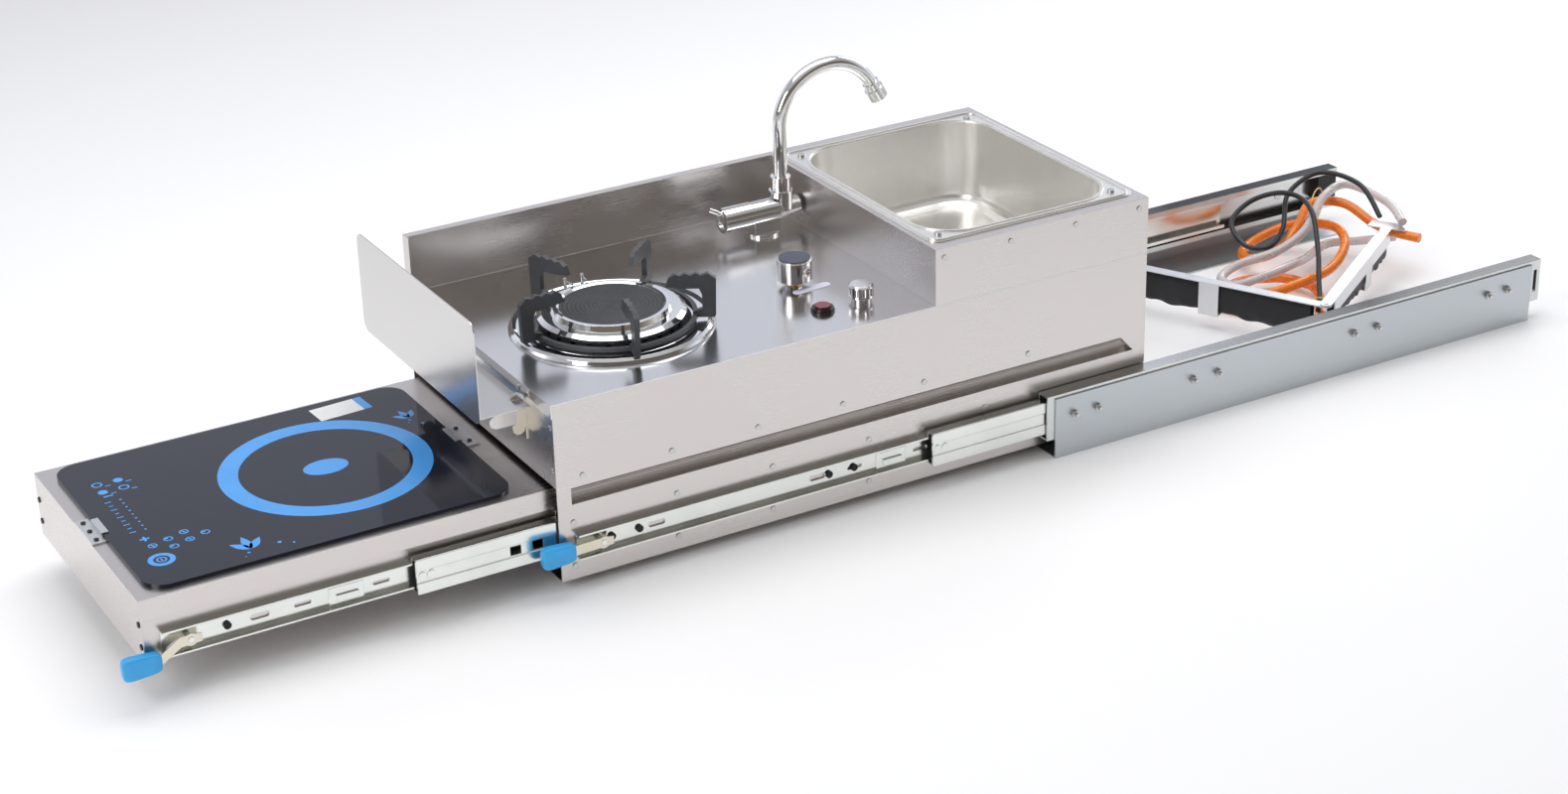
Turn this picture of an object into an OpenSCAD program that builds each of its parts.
// Pull-out camping kitchen: a box with a gas burner, a tap and a sink on locking slides,
// and a cooktop drawer that slides out of its end. Shown pulled out, as photographed.
// X runs along the slides, Y away from the operator's side, Z up. Millimetres.

/* [Node] */
// Sub-part to draw, or all

/* [Box] */
// Length of the main box
box_l = 730; // [600:5:900]
// Width of the main box
box_w = 355.5; // [320:0.5:420]
// Height of the worktop over the box's floor
deck_h = 199; // [170:1:240]
// Height of the sink's skirt and of the splash back over the worktop
rise = 64; // [40:1:90]
// Sheet thickness
sheet = 1.2; // [0.8:0.1:2]
// Depth of the folded splash back
splash_d = 10; // [6:0.5:16]
// Height of the pressed groove's lower edge
groove_z = 84.5; // [80:0.5:100]
// Opening height of the groove
groove_h = 18.5; // [12:0.5:20]
// Depth of the groove
groove_d = 9; // [6:0.5:12]
// Height of the drawer's opening in the box's end
mouth_h = 106; // [104:0.5:112]
// Depth of the worktop's folded left edge
fold_h = 15; // [10:0.5:20]

/* [Rails] */
// Length of a floor rail
rail_l = 697; // [600:1:800]
// Height of a floor rail
rail_h = 72; // [66:0.5:90]
// Rail thickness
rail_t = 2; // [1.5:0.1:3]
// Width of the rail's foot
foot_w = 58; // [40:1:80]
// Height of the box's floor over the ground
ground = 11; // [6:0.5:20]
// Bolt radius in the rails
stud_r = 2.5; // [2:0.1:4]
// Width across the flats of the rail nuts
nut_af = 8; // [7:0.5:10]
// Rail nut thickness
nut_t = 4; // [3:0.1:6]

/* [Slides] */
// Height of the outer slide member
slide_h = 53; // [50:0.5:56]
// Height of the middle slide member
slide_mid_h = 39; // [37:0.5:40]
// Height of the inner slide member
slide_in_h = 28; // [26:0.5:29]
// Built-in thickness of a slide
slide_d = 19.1; // [18:0.1:20]
// Steel thickness of the slides
slide_t = 2; // [1.6:0.1:2.2]
// Length of the outer member of the main slides
main_l = 722; // [650:1:800]
// Length of the middle and inner members of the main slides
main_in_l = 688; // [620:1:700]
// Height of the main slides' centre over the box's floor
main_z = 38.5; // [34:0.5:42]
// How far the box is pulled out of the rails
main_out = 568.5; // [0:0.5:600]
// How far the middle member is pulled out of the outer one
main_mid_out = 147; // [0:1:200]
// Length of the drawer's slides
drawer_slide_l = 450; // [400:5:500]
// Height of the drawer slides' centre
drawer_slide_z = 48.5; // [46:0.5:52]
// How far the drawer's middle member stands out of the box
drawer_mid_out = 155; // [0:1:200]

/* [Drawer] */
// Length of the drawer
drawer_l = 468; // [420:1:500]
// How far the drawer is pulled out
drawer_out = 432; // [0:1:440]
// Height of the drawer's underside
drawer_z = 30; // [26:0.5:34]
// Height of the drawer's cover over its underside
drawer_h = 70; // [62:0.5:72]
// Depth of the cover's skirt
cover_h = 23; // [16:0.5:30]
// How far the cover stands over the tray's sides
cover_over = 4; // [2.5:0.5:6]
// Length of the cooktop glass
glass_l = 385; // [340:1:400]
// Width of the cooktop glass
glass_w = 303; // [270:1:310]
// Thickness of the glass
glass_t = 4; // [3:0.5:5]
// Corner radius of the glass
glass_r = 24; // [6:1:30]
// Gap from the drawer's front to the glass
glass_front = 15; // [8:1:24]

/* [Sink] */
// Length of the sink's skirt along the box
skirt_l = 277; // [270:1:320]
// Length of the pan's rim along the box
pan_x = 265; // [240:1:270]
// Width of the pan's rim across the box
pan_y = 325; // [290:1:340]
// Width of the pan's rim
pan_rim = 14; // [10:0.5:20]
// Depth of the pan
pan_d = 100; // [65:1:150]
// Corner radius of the pan
pan_r = 50; // [30:1:60]
// How far the pan's walls lean in
pan_lean = 6; // [2:0.5:12]
// Radius from the wall to the floor of the pan
pan_fillet = 16; // [8:1:30]
// Pan thickness
pan_t = 1; // [0.7:0.1:1.5]
// Radius of the drain's bore
drain_r = 18; // [12:0.5:24]

/* [Burner] */
// Outer radius of the drip ring
ring_r = 109.4; // [100:0.2:116]
// Inner radius of the drip ring
ring_in_r = 84; // [80:0.5:90]
// Radius of the burner's trim ring
trim_r = 79; // [70:0.5:80]
// Radius of the ceramic plate
plate_r = 55; // [45:0.5:60]
// Height of the ceramic plate over the worktop
plate_h = 23; // [16:0.5:30]
// Radius at the pan support's feet
foot_r = 108.5; // [98:0.5:114]
// Number of pan support arms
arm_n = 5; // [4:1:6]
// Height of the pan support's tips over the worktop
tip_h = 58.5; // [45:0.5:70]
// Thickness of a pan support arm
arm_t = 6; // [4:0.5:8]
// Width of an arm's leg
leg_w = 15; // [10:0.5:20]

/* [Controls] */
// Radius of the gas knob
knob_r = 19.2; // [15:0.2:24]
// Height of the gas knob
knob_h = 25; // [18:0.5:32]
// Radius of the gas valve's stem
stem_r = 4; // [3:0.1:5]
// Radius of the small chrome knob
small_r = 13.5; // [10:0.2:17]
// Height of the small chrome knob
small_h = 14; // [10:0.5:20]
// Radius of the red button
button_r = 9; // [6:0.2:11]
// How far the red button travels
button_travel = 1.5; // [1:0.1:2.5]

/* [Tap] */
// Radius of the tap's round foot
tap_foot_r = 18; // [14:0.5:22]
// Height of the tap's cross barrel over the worktop
tap_axis_h = 26; // [20:0.5:34]
// Radius of the tap's barrel
barrel_r = 14; // [11:0.5:17]
// Outer radius of the spout pipe
pipe_r = 8; // [6:0.25:10]
// Wall of the spout pipe
pipe_wall = 1.2; // [0.8:0.1:2]
// Bend radius of the spout
bend_r = 64; // [50:1:80]
// Height of the bend's centre over the worktop
bend_h = 119; // [90:1:150]
// Angle that the spout's bend turns through
bend_a = 150; // [120:1:180]
// Radius of the outlet
outlet_r = 11; // [9:0.25:13]
// Length of the outlet
outlet_l = 22; // [16:0.5:28]

/* [Wind guard] */
// Length of the wind guard
guard_l = 294; // [240:1:320]
// How far the wind guard stands off the box
guard_off = 60; // [40:1:80]
// Height of the wind guard's plate
guard_h = 112; // [80:1:140]
// Step from the worktop down to the wind guard's shelf
guard_step = 15; // [9:1:19]
// Corner radius of the wind guard
guard_r = 12; // [4:1:20]

/* [Cable arm] */
// Length of the arm's inner link between its pivots
link_a = 325; // [280:1:335]
// Length of the arm's outer link
link_b = 269; // [220:1:300]
// Height of the arm's top
link_top = 50; // [46:0.5:60]
// Height of a fabric sleeve
sleeve_h = 38; // [30:0.5:42]
// Width of a link's strip
strip_w = 14; // [10:0.5:18]
// Thickness of a link's strip
strip_t = 1.5; // [1:0.1:2.5]
// Radius of the pivot rivets
pivot_r = 3; // [2:0.1:4]

/* [Hoses] */
// Diameter of the orange gas hose
gas_d = 12; // [9:0.5:14]
// Diameter of the clear water hose
water_d = 11; // [8:0.5:13]
// Diameter of the black cable
cable_d = 6.5; // [5:0.5:8]

/* [Hidden] */
fine = 64;
small = 32;
cut = 1;
run_gap = 0.3;
pin_gap = 0.05;
ball_gap = 0.4;
hole_gap = 1;
ring_lip = 3;
pin_r = 1.8;

top_z = deck_h + rise;
skirt_x = box_l - skirt_l;
slide_wall_y = sheet + slide_d;
outer_set = 133;
rail_set = 10;
outer_x = skirt_x + outer_set;
rail_x = outer_x + rail_set;
inner_x = outer_x - main_out;
middle_x = outer_x - main_mid_out;
rail_y = -slide_d - rail_t;
bolt_y = rail_y - 2 * nut_t;
drawer_x = -drawer_out;
drawer_inner_x = drawer_x + drawer_l - drawer_slide_l;
drawer_top = drawer_z + drawer_h;
burner_x = skirt_x * 0.31788;
burner_y = 148;
main_grip_x = -26;
main_grip_l = 38;
drawer_grip_gap = 26;
drawer_grip_l = 40;
x_lo = drawer_x - drawer_grip_gap;
x_hi = outer_x + main_l;
mid_x = (x_lo + x_hi) / 2;

module set_frame() translate([-mid_x, -box_w / 2, ground]) children();
module slab(lo, hi) translate(lo) cube(hi - lo);
module along_x(start, length) translate([start, 0, 0]) rotate([90, 0, 90]) linear_extrude(length)
  children();
module along_y(start, length) translate([0, start + length, 0]) rotate([90, 0, 0]) linear_extrude(length)
  children();
module disc(at, r, lo, hi) translate([at[0], at[1], lo]) cylinder(r = r, h = hi - lo, $fn = fine);
module pin_y(x, z, r, lo, hi) translate([x, lo, z]) rotate([-90, 0, 0])
  cylinder(r = r, h = hi - lo, $fn = small);
module pin_x(y, z, r, lo, hi) translate([lo, y, z]) rotate([0, 90, 0])
  cylinder(r = r, h = hi - lo, $fn = fine);
module mirror_box() translate([0, box_w, 0]) mirror([0, 1, 0]) children();
module both_sides() {
  children();
  mirror_box() children();
}
module round_plate(size, r) {
  translate([r, 0]) square([size[0] - 2 * r, size[1]]);
  translate([0, r]) square([size[0], size[1] - 2 * r]);
  for (x = [r, size[0] - r], y = [r, size[1] - r]) translate([x, y]) circle(r = r, $fn = fine);
}

// Slide members: y = 0 is the wall that carries the inner member, z = 0 their centre line
lip = slide_h / 2 - slide_t - slide_mid_h / 2 - ball_gap;
mid_depth = slide_d - 2 * slide_t;
mid_reach = mid_depth - slide_t * 2;
mid_lip = slide_mid_h / 2 - slide_t - slide_in_h / 2 - ball_gap;
in_reach = mid_depth - slide_t * 2.8;
mouth_gap = slide_t * 0.75;

module open_channel(depth, height, reach, edge) {
  inside = height - 2 * slide_t;
  difference() {
    translate([-depth, -height / 2]) square([reach, height]);
    translate([slide_t - depth, -inside / 2]) square([reach - 2 * slide_t, inside]);
    translate([reach - 2 * slide_t - depth, edge - inside / 2])
      square([2 * slide_t + cut, inside - 2 * edge]);
  }
}
module outer_profile() open_channel(slide_d, slide_h, slide_d - mouth_gap, lip);
band_t = slide_t * 0.5;
band_rim = slide_mid_h * 0.48;
band_in = slide_mid_h * 0.18;
module middle_profile() {
  open_channel(mid_depth, slide_mid_h, mid_reach, mid_lip);
  for (s = [-1, 1]) polygon([[slide_t / 2 - mid_depth, s * slide_mid_h / 2],
    [-mid_depth, s * slide_mid_h / 2],
    [-mid_depth - band_t, s * band_rim], [-mid_depth - band_t, s * band_in],
    [-mid_depth, s * (band_in - band_t)], [slide_t / 2 - mid_depth, s * (band_in - band_t)]]);
}
module inner_profile() difference() {
  translate([-in_reach, -slide_in_h / 2]) square([in_reach, slide_in_h]);
  translate([-in_reach - cut, slide_t - slide_in_h / 2]) square([in_reach + cut - slide_t,
    slide_in_h - 2 * slide_t]);
}
module wall_slot(x, length, width, lo, hi) translate([x, lo, 0]) rotate([-90, 0, 0])
  linear_extrude(hi - lo) translate([0, -width / 2]) round_plate([length, width], width / 2.01);

// Floor rails and their bolts
bolt_shares = [0.035, 0.08, 0.27, 0.32, 0.605, 0.655, 0.9, 0.944];
function bolt_x(i) = rail_x + rail_l * bolt_shares[i];
rail_hole_r = stud_r + pin_gap;

module rail() difference() {
  union() {
    slab([rail_x, rail_y, -ground], [rail_x + rail_l, rail_y + rail_t, rail_h - ground]);
    slab([rail_x, rail_y, -ground], [rail_x + rail_l, rail_y + foot_w, rail_t - ground]);
  }
  for (i = [0:7]) pin_y(bolt_x(i), main_z, rail_hole_r, rail_y - cut, rail_y + rail_t + cut);
}
module rail_near() color([0.72, 0.73, 0.74]) set_frame() rail();
module rail_far() color([0.72, 0.73, 0.74]) set_frame() mirror_box() rail();

module main_outer() color([0.62, 0.64, 0.66]) set_frame() both_sides() difference() {
  along_x(outer_x, main_l) translate([0, main_z]) outer_profile();
  for (i = [0:7]) pin_y(bolt_x(i), main_z, rail_hole_r, -slide_d - cut, slide_t - slide_d + cut);
  slab([x_hi - slide_t * 5, -slide_d - cut, main_z - slide_in_h / 2],
    [x_hi - slide_t * 2.5, slide_t - slide_d + cut, main_z + slide_in_h / 2]);
}
module rail_bolts() color([0.75, 0.75, 0.76]) set_frame() both_sides() for (i = [0:7]) {
  pin_y(bolt_x(i), main_z, stud_r, bolt_y, slide_t - slide_d);
  translate([bolt_x(i), rail_y, main_z]) rotate([90, 0, 0]) cylinder(d = nut_af / cos(30), h = nut_t,
    $fn = 6);
  pin_y(bolt_x(i), main_z, stud_r * 2, slide_t - slide_d, slide_t - slide_d + slide_t * 0.4);
}
// Black rubber stops at the back end of the far and near outer members
stop_l = 29;
module slide_stops() color([0.09, 0.09, 0.1]) set_frame() both_sides()
  slab([x_hi - stop_l - slide_t / 2, slide_t - slide_d, main_z - slide_in_h * 0.48],
    [x_hi - slide_t / 2, -mouth_gap, main_z + slide_mid_h / 2]);

module end_rivet(x, z) pin_y(x, z, slide_t * 2.4, -mid_depth - band_t * 0.8, slide_t / 2 - mid_depth);
module main_middle() color([0.7, 0.7, 0.68]) set_frame() both_sides() {
  along_x(middle_x, main_in_l) translate([0, main_z]) middle_profile();
  for (s = [0.45, 1.15]) end_rivet(middle_x + s * slide_in_h / 2, main_z);
}

// Inner members with their stamped latches
latch_l = 36;
latch_main_x = inner_x + main_in_l * 0.52;
latch_drawer_x = drawer_inner_x + drawer_slide_l * 0.38;
screw_r = 4;
screw_h = 2.4;
lever_y = -in_reach - run_gap;
lever_t = 1.4;
lever_pin_x = 27;
rivet_r = 3;
module inner_member(start, length, z, latch_x, holes) difference() {
  union() {
    along_x(start, length) translate([0, z]) inner_profile();
    slab([latch_x, -slide_t * 2, z - slide_in_h * 0.36], [latch_x + latch_l, -slide_t,
      z + slide_in_h * 0.3]);
    slab([latch_x + latch_l * 0.2, -slide_t * 3, z - slide_in_h * 0.24],
      [latch_x + latch_l * 0.85, -slide_t * 2, z]);
    pin_y(start + lever_pin_x, z, rivet_r, lever_y - lever_t - slide_t * 0.3, -slide_t);
  }
  for (x = holes) translate([0, 0, z]) wall_slot(x, slide_in_h * 0.7, slide_t * 3, -slide_t - cut, cut);
  for (x = [latch_x - latch_l, latch_x + latch_l * 1.3]) translate([0, 0, z])
    wall_slot(x, latch_l * 0.5, slide_t * 2, -slide_t - cut, cut);
}
module main_inner() color([0.78, 0.76, 0.68]) set_frame() both_sides()
  inner_member(inner_x, main_in_l, main_z, latch_main_x, [inner_x + main_in_l * 0.12,
    inner_x + main_in_l * 0.4, inner_x + main_in_l * 0.78]);
main_screw_shares = [0.058, 0.104, 0.434, 0.479, 0.93];
module screw_y(x, z) pin_y(x, z, screw_r, -slide_t - screw_h, -slide_t);
module slide_screws() color([0.08, 0.08, 0.09]) set_frame() both_sides() {
  for (s = main_screw_shares) screw_y(inner_x + main_in_l * s, main_z);
}

// Box shell: one folded sheet, with a pressed groove along each side
groove_x = 16;
groove_end = 697;
groove_slant = 17;
function roll(e) = [for (a = [0:15:90]) [(groove_d + e) * sin(a),
  groove_z + sheet + (groove_h - sheet + e) * cos(a)]];
module groove_window(e) polygon([[groove_x - e, groove_z - e],
  [groove_end + groove_slant + e, groove_z - e],
  [groove_end + e, groove_z + groove_h + e], [groove_x - e, groove_z + groove_h + e]]);
module shell_side(height) difference() {
  union() {
    slab([0, 0, 0], [box_l, sheet, height]);
    intersection() {
      along_y(sheet / 2, groove_d + sheet) groove_window(sheet);
      along_x(0, box_l) polygon(concat([[0, groove_z - sheet]], [[0, groove_z + groove_h + sheet]],
        roll(sheet),
        [[groove_d + sheet, groove_z - sheet]]));
    }
  }
  intersection() {
    along_y(-cut, groove_d + 2 * cut) groove_window(0);
    along_x(0, box_l) polygon(concat([[-cut, groove_z], [-cut, groove_z + groove_h]], roll(0),
      [[groove_d, groove_z]]));
  }
}
module box_shell() color([0.76, 0.75, 0.73]) set_frame() {
  difference() {
    union() {
      shell_side(deck_h - sheet);
      slab([0, 0, 0], [box_l, box_w, sheet]);
    }
    disc([skirt_x + skirt_l / 2, box_w / 2], drain_r * 2, -cut, sheet + cut);
  }
  mirror_box() shell_side(deck_h - sheet);
  slab([0, box_w - sheet, groove_z + groove_h * 2], [skirt_x, box_w, top_z]);
  slab([0, box_w - splash_d, top_z - sheet], [skirt_x, box_w, top_z]);
  slab([0, box_w - splash_d, deck_h], [skirt_x, box_w - splash_d + sheet, top_z]);
  slab([0, box_w - splash_d * 1.6, deck_h], [sheet, box_w, top_z]);
  slab([box_l - sheet, 0, 0], [box_l, box_w, deck_h - sheet]);
}
module end_left() color([0.74, 0.73, 0.71]) set_frame()
  slab([0, sheet, mouth_h], [sheet, box_w - sheet, deck_h - sheet]);

// Worktop with its holes and folded left edge
knob_x = skirt_x * 0.79029;
knob_y = 133;
button_x = skirt_x * 0.766;
button_y = 56;
small_x = skirt_x * 0.87196;
small_y = 56.5;
tap_x = skirt_x * 0.89294;
tap_y = 283;
shank_r = tap_foot_r * 0.5;
well_r = ring_in_r + ring_lip;
bush_r = stem_r * 1.6;
module worktop() color([0.78, 0.77, 0.75]) set_frame() difference() {
  union() {
    slab([0, 0, deck_h - sheet], [box_l, box_w - splash_d + sheet, deck_h]);
    slab([skirt_x, box_w - splash_d, deck_h - sheet], [box_l, box_w, deck_h]);
    slab([-sheet, 0, deck_h - fold_h], [0, box_w, deck_h]);
  }
  slab([skirt_x + sheet * 2, sheet * 2, deck_h - 2 * sheet],
    [box_l - sheet * 2, box_w - sheet * 2, deck_h + cut]);
  disc([burner_x, burner_y], well_r, deck_h - 2 * sheet, deck_h + cut);
  disc([knob_x, knob_y], bush_r * 1.4, deck_h - 2 * sheet, deck_h + cut);
  disc([button_x, button_y], button_r + hole_gap, deck_h - 2 * sheet, deck_h + cut);
  disc([small_x, small_y], stem_r + hole_gap, deck_h - 2 * sheet, deck_h + cut);
  disc([tap_x, tap_y], shank_r + run_gap, deck_h - 2 * sheet, deck_h + cut);
}

// Sink: skirt, pan, drain and rim bolts
pan_x0 = skirt_x + (skirt_l - pan_x) / 2;
pan_y0 = (box_w - pan_y) / 2;
module sink_skirt() color([0.76, 0.75, 0.73]) set_frame() {
  difference() {
    slab([skirt_x, 0, deck_h], [box_l, box_w, top_z - sheet]);
    slab([skirt_x + sheet, sheet, deck_h - cut], [box_l - sheet, box_w - sheet, top_z + cut]);
  }
  difference() {
    slab([skirt_x, 0, top_z - sheet], [box_l, box_w, top_z]);
    translate([pan_x0 + pan_rim / 2, pan_y0 + pan_rim / 2, top_z - 2 * sheet])
      linear_extrude(3 * sheet) round_plate([pan_x - pan_rim, pan_y - pan_rim], pan_r + pan_rim / 2);
    for (p = rim_bolts) translate(p) cylinder(r = stud_r + pin_gap, h = 4 * sheet, center = true,
      $fn = small);
  }
}
bowl_x = pan_x - 2 * pan_rim;
bowl_y = pan_y - 2 * pan_rim;
rim_bolts = [for (x = [pan_x0 + pan_rim * 1.4, pan_x0 + pan_x - pan_rim * 1.4],
  y = [pan_y0 + pan_rim * 1.4, pan_y0 + pan_y - pan_rim * 1.4]) [x, y, top_z]];
function wall_line(e) = let (r0 = pan_lean + pan_fillet) concat([[-e, 0],
  [-e - pan_lean, pan_fillet - pan_d]],
  [for (a = [15:15:90]) [-pan_lean - pan_fillet + (pan_fillet - e) * cos(a),
    pan_fillet - pan_d - (pan_fillet - e) * sin(a)]]);
function rev(v) = [for (i = [len(v) - 1:-1:0]) v[i]];
module pan_section() polygon(concat(wall_line(-pan_t), rev(wall_line(0))));
module bead(e, r) linear_extrude(pan_t * 2.4) difference() {
  translate([e, e]) round_plate([pan_x - 2 * e, pan_y - 2 * e], r);
  translate([e + pan_t * 2, e + pan_t * 2]) round_plate([pan_x - 2 * e - 4 * pan_t,
    pan_y - 2 * e - 4 * pan_t], r - pan_t * 2);
}
module pan_walls() {
  for (i = [0, 1], j = [0, 1]) translate([i == 0 ? pan_r : bowl_x - pan_r,
    j == 0 ? pan_r : bowl_y - pan_r, 0])
    rotate([0, 0, i == 0 ? (j == 0 ? 180 : 90) : (j == 0 ? 270 : 0)])
      rotate_extrude(angle = 90, $fn = fine) translate([pan_r, 0]) pan_section();
  translate([pan_r, bowl_y, 0]) rotate([90, 0, 90]) linear_extrude(bowl_x - 2 * pan_r) pan_section();
  translate([bowl_x - pan_r, 0, 0]) rotate([90, 0, -90]) linear_extrude(bowl_x - 2 * pan_r) pan_section();
  translate([bowl_x, bowl_y - pan_r, 0]) rotate([90, 0, 0]) linear_extrude(bowl_y - 2 * pan_r)
    pan_section();
  translate([0, pan_r, 0]) rotate([90, 0, 180]) linear_extrude(bowl_y - 2 * pan_r) pan_section();
}
floor_in = pan_lean + pan_fillet;
module sink_bowl() color([0.8, 0.79, 0.77]) set_frame() translate([pan_x0, pan_y0, top_z]) difference() {
  union() {
    linear_extrude(pan_t) difference() {
      round_plate([pan_x, pan_y], pan_rim);
      translate([pan_rim, pan_rim]) round_plate([bowl_x, bowl_y], pan_r);
    }
    bead(pan_rim * 0.2, pan_rim);
    bead(pan_rim * 0.72, pan_r + pan_rim * 0.28);
    translate([pan_rim, pan_rim, pan_t]) pan_walls();
    translate([pan_rim + floor_in, pan_rim + floor_in, -pan_d]) linear_extrude(pan_t)
      round_plate([bowl_x - 2 * floor_in, bowl_y - 2 * floor_in], pan_r - floor_in);
  }
  translate([pan_x / 2, pan_y / 2, -pan_d]) cylinder(r = drain_r + pin_gap, h = pan_t * 3, center = true,
    $fn = fine);
  for (p = rim_bolts) translate(p - [pan_x0, pan_y0, top_z])
    cylinder(r = stud_r + pin_gap, h = 8 * pan_t, center = true, $fn = small);
}
drain_at = [skirt_x + skirt_l / 2, box_w / 2];
pan_floor = top_z - pan_d + pan_t;
drain_l = 30;
module sink_drain() color([0.7, 0.7, 0.7]) set_frame() difference() {
  union() {
    disc(drain_at, drain_r * 1.5, pan_floor, pan_floor + pan_t * 1.5);
    disc(drain_at, drain_r, pan_floor - drain_l, pan_floor + pan_t);
    disc(drain_at, drain_r * 1.4, pan_floor - pan_t * 8, pan_floor - pan_t);
  }
  disc(drain_at, drain_r - 2 * pan_t, pan_floor - drain_l - cut, pan_floor - pan_t * 2);
  for (k = [0:5]) translate([drain_at[0] + drain_r * 0.55 * cos(60 * k),
    drain_at[1] + drain_r * 0.55 * sin(60 * k), pan_floor - drain_l / 2])
    cylinder(r = drain_r * 0.16, h = drain_l, $fn = small);
}
module rim_bolt() {
  translate([0, 0, -sheet * 6]) cylinder(r = stud_r, h = sheet * 6 + pan_t, $fn = small);
  translate([0, 0, pan_t]) cylinder(r = stud_r * 1.7, h = stud_r, $fn = small);
}

// Self-tapping screws and rivets in the shell's faces, seated on the sheet
head_r = 3.2;
head_h = 1.1;
upper_shares = [0.041, 0.181, 0.32, 0.461, 0.6, 0.785];
middle_shares = [0.023, 0.186, 0.342, 0.504, 0.707];
lower_shares = [0.022, 0.186, 0.341, 0.503, 0.66, 0.82, 0.975];
upper_z = groove_z + groove_h + head_r * 3.5;
middle_z = main_z + slide_h / 2 - head_r * 0.2;
lower_z = main_z - slide_h / 2 + head_r;
module head_y(x, z) pin_y(x, z, head_r, -head_h, 0);
module shell_screws() color([0.68, 0.67, 0.66]) set_frame() {
  both_sides() {
    for (s = upper_shares) head_y(box_l * s, upper_z);
    for (s = middle_shares) head_y(box_l * s, middle_z);
    for (s = lower_shares) head_y(box_l * s, lower_z);
    for (i = [0:3]) head_y(skirt_x + skirt_l * (0.04 + 0.305 * i), top_z - head_r * 3.4);
    for (z = [0.3, 0.75]) pin_x(skirt_l * 0.03, deck_h + rise * z, head_r, box_l, box_l + head_h);
    for (z = [0.62, 0.86]) pin_x(head_r * 2.6, deck_h * z, head_r, -head_h, 0);
  }
  for (p = rim_bolts) translate(p) rim_bolt();
  for (y = [0.15, 0.21, 0.79, 0.85]) pin_x(box_w * y, deck_h - fold_h / 2, head_r, -sheet - head_h,
    -sheet);
}

// Burner
ring_t = 7;
ring_at = [burner_x, burner_y];
ring_edge = 1.4;
module drip_ring() color([0.85, 0.85, 0.86]) set_frame() translate([burner_x, burner_y, deck_h])
  rotate_extrude($fn = fine * 2) polygon([[ring_r - ring_edge, 0], [ring_r, ring_edge],
    [ring_r - ring_edge, ring_t * 0.62], [ring_r - ring_t * 0.6, ring_t],
    [ring_r - ring_t * 1.2, ring_t * 0.55], [ring_in_r + ring_t, ring_t * 0.5],
      [ring_in_r + ring_t * 0.5, ring_t * 0.8],
    [ring_in_r, ring_t * 0.6], [ring_in_r, -ring_t], [ring_in_r + sheet, -ring_t],
      [ring_in_r + sheet, 0]]);
case_d = 46;
case_wall = 4;
barrel_in = 5;
slot_n = 24;
slot_w = 6;
module burner_case() color([0.16, 0.16, 0.17]) set_frame() difference() {
  union() {
    disc(ring_at, well_r - hole_gap, deck_h - ring_t - case_wall, deck_h - ring_t);
    disc(ring_at, trim_r - barrel_in, deck_h - case_d, deck_h + plate_h * 0.62);
  }
  disc(ring_at, trim_r - barrel_in - case_wall, deck_h - case_d + case_wall, deck_h + plate_h);
  for (k = [0:slot_n - 1]) translate([burner_x, burner_y, deck_h + plate_h * 0.14])
    rotate([0, 0, 360 / slot_n * k])
    slab([trim_r - barrel_in - 2 * case_wall, -slot_w / 2, 0], [trim_r, slot_w / 2, plate_h * 0.22]);
}
lip_w = 9;
pin_angles = [103, 87];
pin_at = trim_r - barrel_in + pin_r + run_gap;
module burner_trim() color([0.86, 0.86, 0.87]) set_frame() translate([burner_x, burner_y, deck_h]) difference() {
  rotate_extrude($fn = fine * 2) polygon([[trim_r - barrel_in, plate_h * 0.62], [trim_r, plate_h * 0.56],
    [trim_r, plate_h * 0.66],
    [trim_r - barrel_in, plate_h * 0.8], [plate_r + lip_w, plate_h * 0.78],
      [plate_r + lip_w * 0.8, plate_h * 1.06],
    [plate_r + lip_w * 0.3, plate_h * 1.06], [plate_r, plate_h], [plate_r, plate_h * 0.4],
      [plate_r + lip_w * 0.2, plate_h * 0.4],
    [plate_r + lip_w * 0.5, plate_h * 0.62]]);
  for (phi = pin_angles) rotate([0, 0, phi]) translate([pin_at, 0, 0])
    cylinder(r = pin_r + run_gap, h = plate_h, $fn = small);
}
ridge_n = 9;
ridge_d = 1;
module burner_plate() color([0.12, 0.12, 0.13]) set_frame() translate([burner_x, burner_y, deck_h])
  difference() {
  union() {
    cylinder(r = plate_r, h = plate_h, $fn = fine * 2);
    translate([0, 0, case_wall - case_d]) cylinder(r = plate_r * 0.5, h = case_d - case_wall + ridge_d,
      $fn = fine);
  }
  for (k = [1:ridge_n]) translate([0, 0, plate_h - ridge_d]) rotate_extrude($fn = fine)
    translate([plate_r * k / (ridge_n + 1), 0])
    square([plate_r / ridge_n * 0.45, 2 * ridge_d]);
}
// Spark pin and flame sensor between the plate's rim and the case
pin_track = plate_r + lip_w * 1.35;
module spark_pins() color([0.85, 0.84, 0.8]) set_frame() for (phi = pin_angles)
  translate([burner_x, burner_y, 0])
  rotate([0, 0, phi]) translate([pin_at, 0, deck_h - ring_t]) {
    cylinder(r = pin_r, h = ring_t + plate_h * 1.3, $fn = small);
    translate([0, 0, ring_t + plate_h * 1.15]) rotate([0, -90, 0])
      cylinder(r = pin_r * 0.7, h = lip_w * 1.4, $fn = small);
  }

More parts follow.
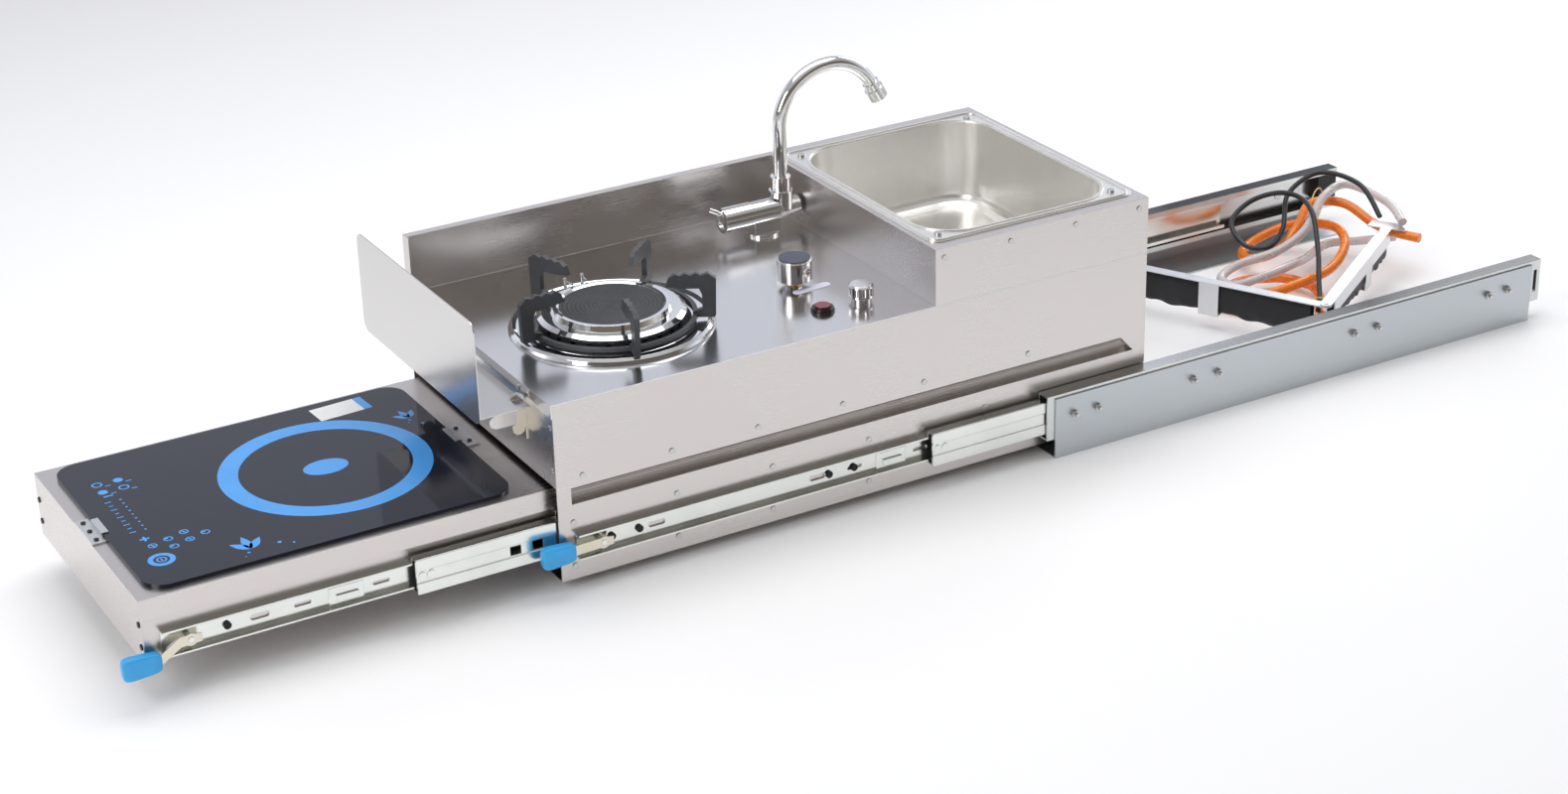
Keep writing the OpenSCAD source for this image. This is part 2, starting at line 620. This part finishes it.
// Pan support: a ring with raised arms that lifts off
support_r = foot_r - leg_w * 1.2;
support_w = 5;
seat_z = ring_t + run_gap;
rest_in_shares = [0.09, 0.16, 0.2, 0.26, 0.31, 0.36, 0.41, 0.47];
rest_up_shares = [0.97, 0.93, 0.98, 0.93, 0.97, 0.92, 0.96, 0.88];
module pan_arm(phi) rotate([0, 0, phi]) translate([0, arm_t / 2, 0]) rotate([90, 0, 0])
  linear_extrude(arm_t)
  polygon(concat([[support_r - support_w, seat_z], [foot_r, seat_z],
    [foot_r + arm_t * 0.2, seat_z + arm_t * 0.4],
    [foot_r + arm_t * 0.4, tip_h * 0.86]],
      [for (i = [0:7]) [foot_r * (1 - rest_in_shares[i]) + leg_w * 0.25, tip_h * rest_up_shares[i]]],
    [[foot_r * 0.53, tip_h * 0.72], [foot_r * 0.7, tip_h * 0.68], [foot_r - leg_w * 1.05, tip_h * 0.68],
    [foot_r - leg_w * 0.85, tip_h * 0.56], [foot_r - leg_w * 0.85, seat_z + arm_t * 1.6],
      [support_r - support_w, seat_z + arm_t]]));
module pan_support() color([0.17, 0.17, 0.18]) set_frame() translate([burner_x, burner_y, deck_h]) {
  for (k = [0:arm_n - 1]) pan_arm(41 + 360 / arm_n * k);
  translate([0, 0, seat_z]) difference() {
    cylinder(r = support_r, h = arm_t * 0.7, $fn = fine * 2);
    translate([0, 0, -cut]) cylinder(r = support_r - support_w, h = arm_t + 2 * cut, $fn = fine * 2);
  }
}

// Controls
knob_lift = 7.5;
knob_z = deck_h + knob_lift;
valve_d = 20;
cap_t = 1.2;
module gas_valve() color([0.72, 0.6, 0.3]) set_frame() {
  disc([knob_x, knob_y], stem_r, deck_h - valve_d, knob_z + knob_h * 0.6);
  disc([knob_x, knob_y], bush_r, deck_h - valve_d, deck_h - sheet / 2);
  disc([knob_x, knob_y], bush_r * 2, deck_h - valve_d, deck_h - sheet);
}
module gas_knob() color([0.84, 0.84, 0.85]) set_frame() difference() {
  union() {
    disc([knob_x, knob_y], knob_r, knob_z, knob_z + knob_h - 2 * cap_t);
    disc([knob_x, knob_y], knob_r * 0.93, knob_z + knob_h - 2 * cap_t, knob_z + knob_h - cap_t);
  }
  disc([knob_x, knob_y], knob_r * 0.86, knob_z - cut, knob_z + knob_h * 0.3);
  disc([knob_x, knob_y], stem_r + pin_gap, knob_z - cut, knob_z + knob_h * 0.62);
  translate([knob_x + knob_r * 0.35, knob_y - knob_r * 1.2, knob_z + knob_h * 0.5])
    sphere(r = knob_r * 0.42, $fn = small);
}
module knob_cap() color([0.13, 0.14, 0.17]) set_frame()
  disc([knob_x, knob_y], knob_r * 0.9, knob_z + knob_h - cap_t, knob_z + knob_h);
label_l = 47;
label_w = 11;
label_t = 0.5;
module label_plate() color([0.93, 0.92, 0.96]) set_frame() translate([knob_x - label_l * 0.28,
  knob_y - knob_r - label_w * 0.6, deck_h])
  rotate([0, 0, 4]) linear_extrude(label_t) round_plate([label_l, label_w], label_w / 2.01);
bezel_h = 5;
bezel_w = 4;
button_d = 14;
module button_bezel() color([0.07, 0.07, 0.08]) set_frame() difference() {
  union() {
    disc([button_x, button_y], button_r + bezel_w, deck_h, deck_h + bezel_h * 0.4);
    disc([button_x, button_y], button_r + bezel_w * 0.65, deck_h, deck_h + bezel_h);
    disc([button_x, button_y], button_r + hole_gap * 0.8, deck_h - button_d, deck_h);
  }
  disc([button_x, button_y], button_r, deck_h - button_d + bezel_w / 2, deck_h + bezel_h + cut);
}
module red_button() color([0.62, 0.12, 0.18]) set_frame()
  disc([button_x, button_y], button_r - run_gap,
    deck_h - button_d + bezel_w / 2 + button_travel + run_gap, deck_h + bezel_h * 1.4);
spindle_h = 6;
module knob_spindle() color([0.6, 0.6, 0.6]) set_frame() {
  disc([small_x, small_y], stem_r, deck_h - valve_d, deck_h + spindle_h + small_h * 0.55);
  disc([small_x, small_y], small_r * 0.8, deck_h, deck_h + spindle_h - run_gap);
  disc([small_x, small_y], stem_r * 2.2, deck_h - valve_d, deck_h - sheet);
}
flute_n = 10;
flute_r = 3;
module chrome_knob() color([0.87, 0.87, 0.88]) set_frame() translate([small_x, small_y,
  deck_h + spindle_h]) difference() {
  union() {
    cylinder(r = small_r, h = small_h * 0.88, $fn = fine);
    translate([0, 0, small_h * 0.88]) cylinder(r1 = small_r, r2 = small_r * 0.86, h = small_h * 0.12,
      $fn = fine);
  }
  for (k = [0:flute_n - 1]) rotate([0, 0, 360 / flute_n * k])
    translate([small_r + flute_r * 0.55, 0, small_h * 0.16])
    cylinder(r = flute_r, h = small_h * 0.62, $fn = small);
  translate([0, 0, -cut]) cylinder(r = stem_r + pin_gap, h = small_h * 0.6 + cut, $fn = fine);
}

// Tap
tap_z = deck_h + tap_axis_h;
tap_w = 33;
tap_foot_t = 3;
riser_x = tap_x + tap_w * 0.742;
cross_r = barrel_r * 0.45;
cross_l = 16;
handle_l = 36;
shank_l = 26;
module tap_base() color([0.86, 0.86, 0.87]) set_frame() {
  disc([tap_x, tap_y], tap_foot_r, deck_h, deck_h + tap_foot_t);
  disc([tap_x, tap_y], shank_r, deck_h - shank_l, deck_h);
  disc([tap_x, tap_y], shank_r * 1.6, deck_h - sheet - shank_l * 0.3, deck_h - sheet);
  slab([tap_x - tap_w / 2, tap_y - barrel_r * 0.86, deck_h + tap_foot_t],
    [tap_x + tap_w / 2, tap_y + barrel_r * 0.86, tap_z]);
  pin_x(tap_y, tap_z, barrel_r, tap_x - tap_w / 2, tap_x + tap_w / 2 - run_gap / 2);
  pin_x(tap_y, tap_z, cross_r, tap_x - tap_w / 2 - cross_l, tap_x + tap_w / 2 + cross_l / 2);
}
handle_x1 = tap_x - tap_w / 2 - run_gap;
lever_tip_r = 2.4;
module tap_handle() color([0.86, 0.86, 0.87]) set_frame() {
  difference() {
    pin_x(tap_y, tap_z, barrel_r * 1.04, handle_x1 - handle_l, handle_x1);
    pin_x(tap_y, tap_z, barrel_r * 0.72, handle_x1 - handle_l - cut, handle_x1 - handle_l + lever_tip_r);
    pin_x(tap_y, tap_z, cross_r + pin_gap, handle_x1 - cross_l - hole_gap, handle_x1 + cut);
  }
  translate([handle_x1 - handle_l + 2 * lever_tip_r, tap_y, tap_z + barrel_r * 0.4]) rotate([0, -62, 0])
    cylinder(r = lever_tip_r, h = barrel_r * 1.6, $fn = small);
}
turret_x0 = tap_x + tap_w / 2 + run_gap;
turret_l = 28;
socket_r = pipe_r * 1.7;
neck_h = barrel_r + run_gap;
socket_z = tap_z + neck_h + barrel_r * 0.5;
module tap_turret() color([0.86, 0.86, 0.87]) set_frame() difference() {
  union() {
    translate([turret_x0, tap_y, tap_z]) rotate([0, 90, 0]) cylinder(r1 = barrel_r, r2 = barrel_r * 0.76,
      h = turret_l, $fn = fine);
    disc([riser_x, tap_y], socket_r, tap_z + neck_h, socket_z);
    intersection() {
      disc([riser_x, tap_y], socket_r, tap_z, tap_z + neck_h);
      slab([turret_x0, tap_y - socket_r, tap_z], [turret_x0 + turret_l, tap_y + socket_r,
        tap_z + neck_h]);
    }
  }
  pin_x(tap_y, tap_z, cross_r + pin_gap, turret_x0 - cut, turret_x0 + cross_l / 2 + pin_gap);
  disc([riser_x, tap_y], pipe_r + pin_gap * 1.5, tap_z + barrel_r * 0.72, socket_z + cut);
}
collar_z = socket_z + run_gap;
collar_h = 16;
bend_z = deck_h + bend_h;
module pipe(r, lo) {
  disc([riser_x, tap_y], r + pin_gap / 2, lo, bend_z);
  translate([riser_x + bend_r, tap_y, bend_z]) rotate([90, 0, 0]) rotate([0, 0, 180 - bend_a])
    rotate_extrude(angle = bend_a, $fn = fine * 2) translate([bend_r, 0]) circle(r = r, $fn = small);
}
module at_outlet() translate([riser_x + bend_r, tap_y, bend_z]) rotate([0, bend_a - 180, 0])
  translate([bend_r, 0, 0]) rotate([180, 0, 0]) children();
module tap_spout() color([0.88, 0.88, 0.89]) set_frame() {
  pipe(pipe_r, tap_z + barrel_r * 0.74);
  disc([riser_x, tap_y], socket_r * 0.85, collar_z, collar_z + collar_h);
  at_outlet() cylinder(r = outlet_r * 0.86, h = outlet_l * 0.4, $fn = small);
  at_outlet() translate([0, 0, outlet_l * 0.4]) difference() {
    cylinder(r = outlet_r, h = outlet_l * 0.6, $fn = small);
    translate([0, 0, outlet_l * 0.3]) cylinder(r = outlet_r - 2 * pipe_wall, h = outlet_l, $fn = small);
  }
}

// Wind guard on two hinge brackets at the box's left top edge
eye_r = 7;
hinge_x = -sheet - eye_r - 2 * run_gap;
guard_z = deck_h - guard_step;
hinge_z = guard_z + sheet / 2;
guard_y = (box_w - guard_l) / 2 + eye_r;
guard_drop = 8;
leaf_t = 1.5;
leaf_l = 26;
leaf_w = 22;
bracket_drop = 46;
leaf_at = [guard_y + leaf_w, guard_y + guard_l - leaf_w * 1.4];
module wind_guard() color([0.76, 0.75, 0.73]) set_frame() {
  difference() {
    slab([-guard_off, guard_y, guard_z], [hinge_x + eye_r * 0.5, guard_y + guard_l, guard_z + sheet]);
    for (y = leaf_at) slab([hinge_x - eye_r - hole_gap, y + leaf_t, guard_z - cut],
      [0, y + 3 * leaf_t, guard_z + sheet + cut]);
    for (y = leaf_at) pin_y(hinge_x, hinge_z, pivot_r + pin_gap, y - leaf_t - cut, y + leaf_t + cut);
  }
  translate([-guard_off, guard_y, guard_z - guard_drop]) rotate([90, 0, 90]) mirror([0, 0, 1])
    linear_extrude(sheet)
    round_plate([guard_l, guard_h], guard_r);
  for (y = leaf_at) difference() {
    union() {
      slab([hinge_x - leaf_l, y, guard_z - leaf_l], [hinge_x - eye_r / 2, y + leaf_t, guard_z]);
      pin_y(hinge_x, hinge_z, eye_r, y, y + leaf_t);
      pin_y(hinge_x - leaf_l, guard_z - leaf_l * 0.7, eye_r, y, y + leaf_t);
    }
    pin_y(hinge_x, hinge_z, pivot_r + pin_gap, y - cut, y + leaf_t + cut);
  }
}
module guard_bracket() color([0.7, 0.7, 0.68]) set_frame() for (y = leaf_at) {
  slab([-leaf_t, y + leaf_t + run_gap, guard_z - bracket_drop],
    [0, y + leaf_t + run_gap + leaf_w, guard_z - run_gap]);
  slab([hinge_x - eye_r / 2, y + leaf_t + run_gap, guard_z - bracket_drop * 0.7],
    [0, y + 2 * leaf_t + run_gap, guard_z - run_gap]);
  pin_y(hinge_x, hinge_z, eye_r, y + leaf_t + run_gap, y + 2 * leaf_t + run_gap);
  pin_y(hinge_x, guard_z - bracket_drop * 0.7, eye_r, y + leaf_t + run_gap, y + 2 * leaf_t + run_gap);
  pin_y(hinge_x, hinge_z, pivot_r, y - leaf_t, y + leaf_t + run_gap);
}

// Drawer and cooktop
tray_y = slide_wall_y;
cover_y = tray_y - cover_over;
glass_x = drawer_x + glass_front;
glass_y = (box_w - glass_w) / 2;
glass_end = glass_x + glass_l;
module drawer_tray() color([0.73, 0.72, 0.7]) set_frame() difference() {
  slab([drawer_x + sheet, tray_y, drawer_z], [drawer_x + drawer_l - sheet, box_w - tray_y,
    drawer_top - sheet]);
  slab([drawer_x + 2 * sheet, tray_y + sheet, drawer_z + sheet],
    [drawer_x + drawer_l - 2 * sheet, box_w - tray_y - sheet, drawer_top + cut]);
}
module drawer_cover() color([0.78, 0.77, 0.75]) set_frame() {
  difference() {
    slab([drawer_x, cover_y, drawer_top - cover_h], [drawer_x + drawer_l, box_w - cover_y, drawer_top]);
    slab([drawer_x + sheet, cover_y + sheet, drawer_top - cover_h - cut],
      [drawer_x + drawer_l - sheet, box_w - cover_y - sheet, drawer_top - sheet]);
  }
  slab([drawer_x, cover_y, drawer_z], [drawer_x + sheet, box_w - cover_y, drawer_top - cover_h]);
}
module cooktop_glass() color([0.09, 0.11, 0.16]) set_frame()
  translate([glass_x, glass_y, drawer_top]) linear_extrude(glass_t)
    round_plate([glass_l, glass_w], glass_r);
clip_l = 57;
clip_t = 1.5;
clip_over = 6;
clip_back = 16;
tab_l = clip_l * 0.6;
module tab(x, s) {
  slab([x - (s < 0 ? clip_t : 0), box_w / 2 - tab_l / 2, drawer_top],
    [x + (s < 0 ? 0 : clip_t), box_w / 2 + tab_l / 2, drawer_top + glass_t + clip_t]);
  slab([x - (s < 0 ? 0 : clip_over), box_w / 2 - tab_l / 2, drawer_top + glass_t],
    [x + (s < 0 ? clip_over : 0), box_w / 2 + tab_l / 2, drawer_top + glass_t + clip_t]);
}
module glass_clips() color([0.76, 0.74, 0.7]) set_frame() {
  slab([drawer_x, box_w / 2 - clip_l / 2, drawer_top], [glass_x - run_gap, box_w / 2 + clip_l / 2,
    drawer_top + clip_t]);
  tab(glass_x - run_gap, -1);
  slab([glass_end + run_gap, box_w / 2 - clip_l / 2, drawer_top],
    [glass_end + clip_back, box_w / 2 + clip_l / 2, drawer_top + clip_t]);
  tab(glass_end + run_gap, 1);
}
module drawer_outer() color([0.66, 0.67, 0.68]) set_frame() both_sides() translate([0, slide_wall_y, 0])
  along_x(sheet * 4, drawer_slide_l) translate([0, drawer_slide_z]) outer_profile();
module drawer_middle() color([0.74, 0.73, 0.68]) set_frame() both_sides() translate([0, slide_wall_y, 0])
  difference() {
  union() {
    along_x(-drawer_mid_out, drawer_slide_l) translate([0, drawer_slide_z]) middle_profile();
    for (s = [0.45, 1.15]) end_rivet(s * slide_in_h / 2 - drawer_mid_out, drawer_slide_z);
  }
  for (x = [0.66, 0.82]) slab([-drawer_mid_out * (1 - x), -mid_depth - cut,
    drawer_slide_z - slide_t * 2.5],
    [-drawer_mid_out * (1 - x) + slide_t * 6, slide_t - mid_depth + cut, drawer_slide_z + slide_t * 2.5]);
}
module drawer_inner() color([0.78, 0.76, 0.68]) set_frame() both_sides() translate([0, slide_wall_y, 0])
  inner_member(drawer_inner_x, drawer_slide_l, drawer_slide_z, latch_drawer_x,
    [drawer_inner_x + drawer_slide_l * 0.2, drawer_inner_x + drawer_slide_l * 0.7]);
drawer_screw_shares = [0.147, 0.9];
module drawer_screws() color([0.2, 0.2, 0.2]) set_frame() {
  both_sides() {
    for (s = drawer_screw_shares) translate([0, slide_wall_y, 0])
      screw_y(drawer_inner_x + drawer_slide_l * s, drawer_slide_z);
    for (z = [0.25, 0.6]) pin_x(cover_y + 2 * head_r, drawer_z + drawer_h * z, head_r, drawer_x - head_h,
      drawer_x);
  }
  for (y = [-0.36, 0, 0.36]) disc([drawer_x + glass_front * 0.45, box_w / 2 + clip_l * y], head_r * 0.8,
    drawer_top + clip_t, drawer_top + clip_t + head_h);
  for (y = [-0.3, 0.3]) disc([glass_end + clip_back * 0.6, box_w / 2 + clip_l * y], head_r * 0.8,
    drawer_top + clip_t, drawer_top + clip_t + head_h);
}

// Release levers with dipped grips; drawn about the pin, then placed
lever_w = 11;
grip_h = 25;
grip_t = 13;
grip_wall = 3;
main_reach = inner_x + lever_pin_x - main_grip_x;
drawer_reach = drawer_inner_x + lever_pin_x - x_lo;
main_drop = 0.5;
drawer_drop = 13.5;
module lever_shape(reach, drop) difference() {
  union() {
    pin_y(0, 0, lever_w * 0.6, lever_y - lever_t, lever_y);
    translate([0, lever_y, 0]) rotate([90, 0, 0]) linear_extrude(lever_t)
      polygon([[lever_w, lever_w * 0.4], [0, lever_w / 2], [-lever_w, lever_w / 2],
        [-reach * 0.45, lever_w / 2 - drop], [grip_wall * 2 - reach, lever_w / 2 - drop],
        [grip_wall * 2 - reach, -lever_w / 2 - drop], [-reach * 0.45, -lever_w / 2 - drop],
          [-lever_w, -lever_w / 2], [lever_w, -lever_w * 0.4]]);
  }
  pin_y(0, 0, rivet_r + pin_gap, lever_y - lever_t - cut, lever_y + cut);
}
module grip_shape(reach, drop, length) difference() {
  translate([-reach, lever_y - lever_t / 2 + grip_t / 2, -drop - grip_h / 2]) rotate([90, 0, 0])
    linear_extrude(grip_t) round_plate([length, grip_h], grip_wall * 1.6);
  slab([grip_wall * 2 - reach, lever_y - lever_t, -lever_w / 2 - drop],
    [length - reach + cut, lever_y, lever_w / 2 - drop]);
}
module at_main() translate([inner_x + lever_pin_x, 0, main_z]) children();
module at_drawer() translate([drawer_inner_x + lever_pin_x, slide_wall_y, drawer_slide_z]) children();
module main_lever_near() color([0.8, 0.77, 0.66]) set_frame() at_main()
  lever_shape(main_reach, main_drop);
module drawer_lever_near() color([0.8, 0.77, 0.66]) set_frame() at_drawer()
  lever_shape(drawer_reach, drawer_drop);
module main_grip_near() color([0.08, 0.5, 0.82]) set_frame() at_main()
  grip_shape(main_reach, main_drop, main_grip_l);
module drawer_grip_near() color([0.08, 0.5, 0.82]) set_frame() at_drawer()
  grip_shape(drawer_reach, drawer_drop, drawer_grip_l);

// Cable arm: a bracket on the box, two links with fabric sleeves
arm_set = 148;
arm_in = 26;
arm_x = box_l + arm_set;
arm_y = box_w - arm_in;
arm_a = -62.7;
arm_b = 33.6;
sleeve_t = 11;
elbow = [arm_x + link_a * cos(arm_a), arm_y + link_a * sin(arm_a)];
arm_end = elbow + link_b * [cos(arm_b), sin(arm_b)];
module arm_bracket() color([0.76, 0.76, 0.77]) set_frame() {
  slab([box_l, arm_y - strip_w / 2, link_top - sleeve_h], [box_l + strip_t, arm_y + strip_w / 2,
    link_top + sleeve_h / 2]);
  slab([box_l, arm_y - strip_w / 2, link_top + run_gap], [arm_x, arm_y + strip_w / 2,
    link_top + run_gap + strip_t]);
  slab([box_l, arm_y + strip_w / 2 - strip_t, link_top - sleeve_h / 2],
    [arm_x - strip_w, arm_y + strip_w / 2, link_top + run_gap]);
  disc([arm_x, arm_y], strip_w / 2, link_top + run_gap, link_top + run_gap + strip_t);
  disc([arm_x, arm_y], pivot_r, link_top - 2 * strip_t, link_top + run_gap);
}
module strip(length, w, z) difference() {
  union() {
    slab([0, -w / 2, z - strip_t], [length, w / 2, z]);
    for (x = [0, length]) disc([x, 0], w / 2, z - strip_t, z);
  }
  disc([0, 0], pivot_r + pin_gap, z - 2 * strip_t, z + cut);
}
module band(x, z) difference() {
  slab([x, -sleeve_t / 2 - strip_t, z - sleeve_h - 3 * strip_t],
    [x + band_w, sleeve_t / 2 + strip_t, z - strip_t]);
  slab([x - cut, -sleeve_t / 2, z - sleeve_h - 2 * strip_t], [x + band_w + cut, sleeve_t / 2, z]);
}
module sleeve(x, length, z) difference() {
  slab([x, -sleeve_t / 2, z - sleeve_h - strip_t], [x + length, sleeve_t / 2, z - strip_t]);
  slab([x - cut, strip_t - sleeve_t / 2, z - sleeve_h], [x + length + cut, sleeve_t / 2 - strip_t,
    z - 2 * strip_t]);
}
band_w = 26;
band_shares = [0.12, 0.505];
outer_band_share = 0.56;
outer_top = link_top + strip_t + run_gap;
plate_w = 48;
plate_l = 20;
module at_inner() translate([arm_x, arm_y, 0]) rotate([0, 0, arm_a]) children();
module at_outer() translate([elbow[0], elbow[1], 0]) rotate([0, 0, arm_b]) children();
module arm_inner() color([0.77, 0.77, 0.78]) set_frame() at_inner() {
  strip(link_a, strip_w, link_top);
  disc([link_a, 0], pivot_r, link_top - strip_t, outer_top + strip_t / 2);
  for (s = band_shares) band(link_a * s, link_top);
}
module arm_outer() color([0.77, 0.77, 0.78]) set_frame() at_outer() {
  strip(link_b, strip_w, outer_top);
  slab([strip_w, -strip_w / 2, outer_top - sleeve_h / 2], [link_b - strip_w, strip_t - strip_w / 2,
    outer_top]);
  band(link_b * outer_band_share, outer_top);
  difference() {
    slab([link_b - plate_l / 2, -plate_w / 2, outer_top - strip_t],
      [link_b + plate_l / 2, plate_w / 2, outer_top]);
    disc([link_b, -plate_w / 4], pivot_r, outer_top - 2 * strip_t, outer_top + cut);
  }
}
module inner_sleeve() color([0.07, 0.07, 0.08]) set_frame() at_inner()
  sleeve(strip_w * 1.4, link_a - strip_w * 2.6, link_top);
module outer_sleeve() color([0.07, 0.07, 0.08]) set_frame() at_outer()
  sleeve(strip_w * 1.8, link_b - strip_w * 3.4, outer_top);
module orange_hose() color([0.95, 0.45, 0.08]) set_frame() tube(gas_path, gas_d / 2, 10, 3);
module clear_hose() color([0.86, 0.83, 0.84]) set_frame() tube(water_path, water_d / 2, 10, 3);
module black_cable() color([0.08, 0.08, 0.09]) set_frame() tube(cable_path, cable_d / 2, 8, 3);

// Hose routes in the box's frame, points chosen by hand
gas_path = [[1268, 150, 44], [1256, 180, 44], [1250, 215, 46], [1240, 262, 60], [1205, 285, 60],
  [1165, 262, 44], [1130, 256, 22],
  [1105, 275, 10], [1112, 303, 8], [1150, 318, 14], [1190, 308, 26], [1215, 280, 32], [1220, 245, 34],
    [1195, 205, 30],
  [1150, 178, 20], [1090, 166, 18], [1040, 168, 14], [1006, 186, 8], [1010, 218, 4], [1055, 236, 4],
    [1105, 218, 4], [1124, 182, 2],
  [1108, 146, 2], [1082, 116, 4], [1066, 92, 8]];
water_path = [[1262, 176, 58], [1278, 225, 66], [1256, 276, 78], [1205, 262, 76], [1150, 228, 56],
  [1102, 222, 40], [1052, 236, 28],
  [1016, 224, 22], [1014, 194, 24], [1050, 182, 32], [1110, 200, 28], [1160, 236, 12], [1215, 262, 10],
    [1250, 240, 14], [1272, 200, 28]];
cable_path = [[1244, 198, 62], [1248, 245, 90], [1226, 296, 94], [1180, 300, 74], [1142, 262, 48],
  [1108, 246, 36], [1086, 266, 36], [1090, 300, 54], [1130, 316, 68], [1160, 298, 80], [1170, 265, 82],
  [1160, 228, 74], [1134, 184, 46], [1108, 150, 30], [1084, 118, 15], [1064, 96, 20], [1046, 76, 26]];

// Least gap of each hose to itself, measured on points along it
gap_steps = 6;
gap_skip = 6;
function centre_gap(p) = min([for (i = [0:len(p) - 1 - gap_skip], j = [i + gap_skip:len(p) - 1])
  norm(p[i] - p[j])]);
function self_gap(path, d) = centre_gap(spline(path, gap_steps)) - d;
echo(orange_hose_gap = self_gap(gas_path, gas_d), clear_hose_gap = self_gap(water_path, water_d));
echo(black_cable_gap = self_gap(cable_path, cable_d));

tie_t = 1.6;
tie_at = [[1195, 263, 67, 22, 30], [1082, 116, 7.4, 11.9, -38]];
module hose_ties() color([0.9, 0.72, 0.3]) set_frame() for (p = tie_at) translate([p[0], p[1], p[2]])
  rotate([90, 0, p[4]])
  rotate_extrude($fn = small) translate([p[3], 0]) circle(d = tie_t, $fn = 16);

function spline(p, n) = [for (i = [0:len(p) - 2], k = [0:n - 1])
  let (a = p[max(i - 1, 0)], b = p[i], c = p[i + 1],
  d = p[min(i + 2, len(p) - 1)], t = k / n) 0.5 * ((2 * b) + (c - a) * t + (2 * a - 5 * b + 4 * c - d) * t * t
  + (3 * b - a - 3 * c + d) * t * t * t)];
function unit(v) = v / norm(v);
function carry(u, t) = unit(u - (u * t) * t);
function sides(ts, i, prev) = i == len(ts) ? [] : let (u = carry(prev, ts[i]))
  concat([u], sides(ts, i + 1, u));
module tube(path, r, n, per) {
  pts = concat(spline(path, per), [path[len(path) - 1]]);
  m = len(pts);
  ts = [for (i = [0:m - 1]) unit(pts[min(i + 1, m - 1)] - pts[max(i - 1, 0)])];
  us = sides(ts, 0, carry([0, 0, 1], ts[0]));
  ring = [for (i = [0:m - 1], k = [0:n - 1]) let (v = cross(ts[i], us[i]),
    a = 360 * k / n) pts[i] + r * (cos(a) * us[i] + sin(a) * v)];
  quads = [for (i = [0:m - 2], k = [0:n - 1]) let (a = i * n + k,
    b = i * n + (k + 1) % n) each [[a, b + n, b], [a, a + n, b + n]]];
  caps = concat([for (k = [1:n - 2]) [0, k, k + 1]], [for (k = [1:n - 2]) [(m - 1) * n,
    (m - 1) * n + k + 1, (m - 1) * n + k]]);
  polyhedron(points = ring, faces = concat(quads, caps), convexity = 12);
}

rail_near();
rail_far();
main_outer();
rail_bolts();
slide_stops();
main_middle();
main_inner();
slide_screws();
box_shell();
end_left();
worktop();
sink_skirt();
sink_bowl();
sink_drain();
shell_screws();
drawer_outer();
drip_ring();
burner_case();
burner_trim();
burner_plate();
spark_pins();
gas_valve();
label_plate();
button_bezel();
knob_spindle();
tap_base();
guard_bracket();
arm_bracket();
wind_guard();
pan_support();
gas_knob();
knob_cap();
red_button();
chrome_knob();
tap_handle();
tap_turret();
tap_spout();
drawer_middle();
drawer_inner();
drawer_tray();
drawer_cover();
cooktop_glass();
glass_clips();
drawer_screws();
main_lever_near();
drawer_lever_near();
main_grip_near();
drawer_grip_near();
arm_inner();
arm_outer();
inner_sleeve();
outer_sleeve();
orange_hose();
clear_hose();
black_cable();
hose_ties();
